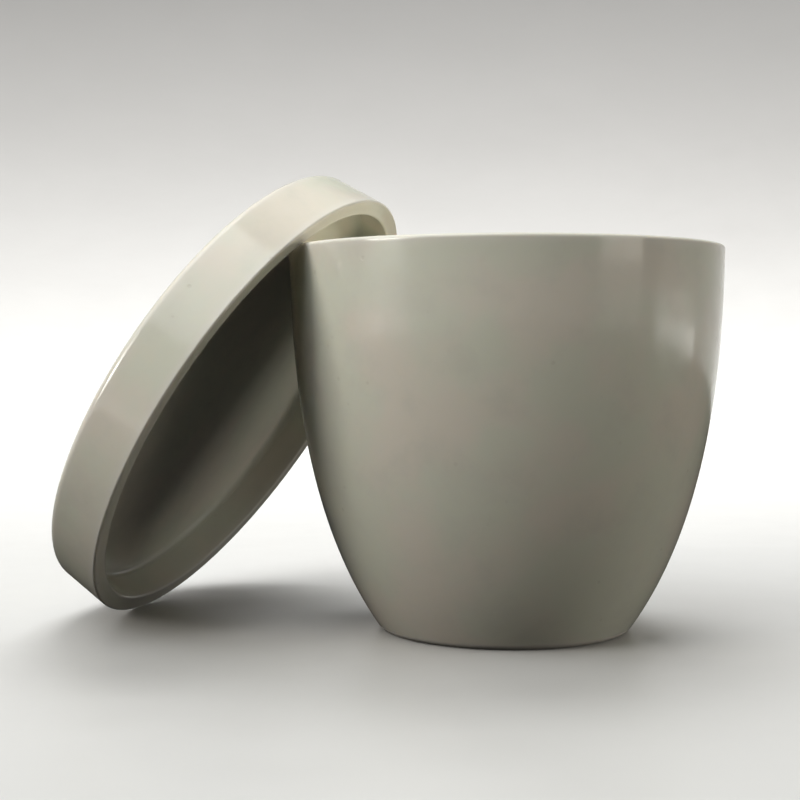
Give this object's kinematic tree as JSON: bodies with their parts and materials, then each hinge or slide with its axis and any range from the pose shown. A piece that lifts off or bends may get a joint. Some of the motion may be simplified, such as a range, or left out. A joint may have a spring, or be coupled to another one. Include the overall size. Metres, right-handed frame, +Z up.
{
  "type": "lidded crucible",
  "caption": "Glazed porcelain laboratory crucible with a rounded bowl on a small foot, and a loose flanged lid leaning against its rim; holds small samples for strong heating.",
  "frame": {"origin": "on the crucible's axis, in the plane that its foot ring rests on", "axes": "+Z up along the crucible's axis; the lid leans on the -X side and the row is symmetric about the XZ plane"},
  "size_m": [0.0771, 0.059, 0.0529],
  "materials": {
    "glazed_porcelain": "clear gloss glaze over off-white porcelain, bare biscuit under the foot"
  },
  "bodies": {
    "crucible": {"crucible": "glazed_porcelain"},
    "lid": {"lid": "glazed_porcelain"}
  },
  "joints": [
    {"name": "lid_lift", "type": "slide", "parent": "crucible", "child": "lid", "axis": [0, 0, 1], "range_m": [0, 0.06]}
  ]
}
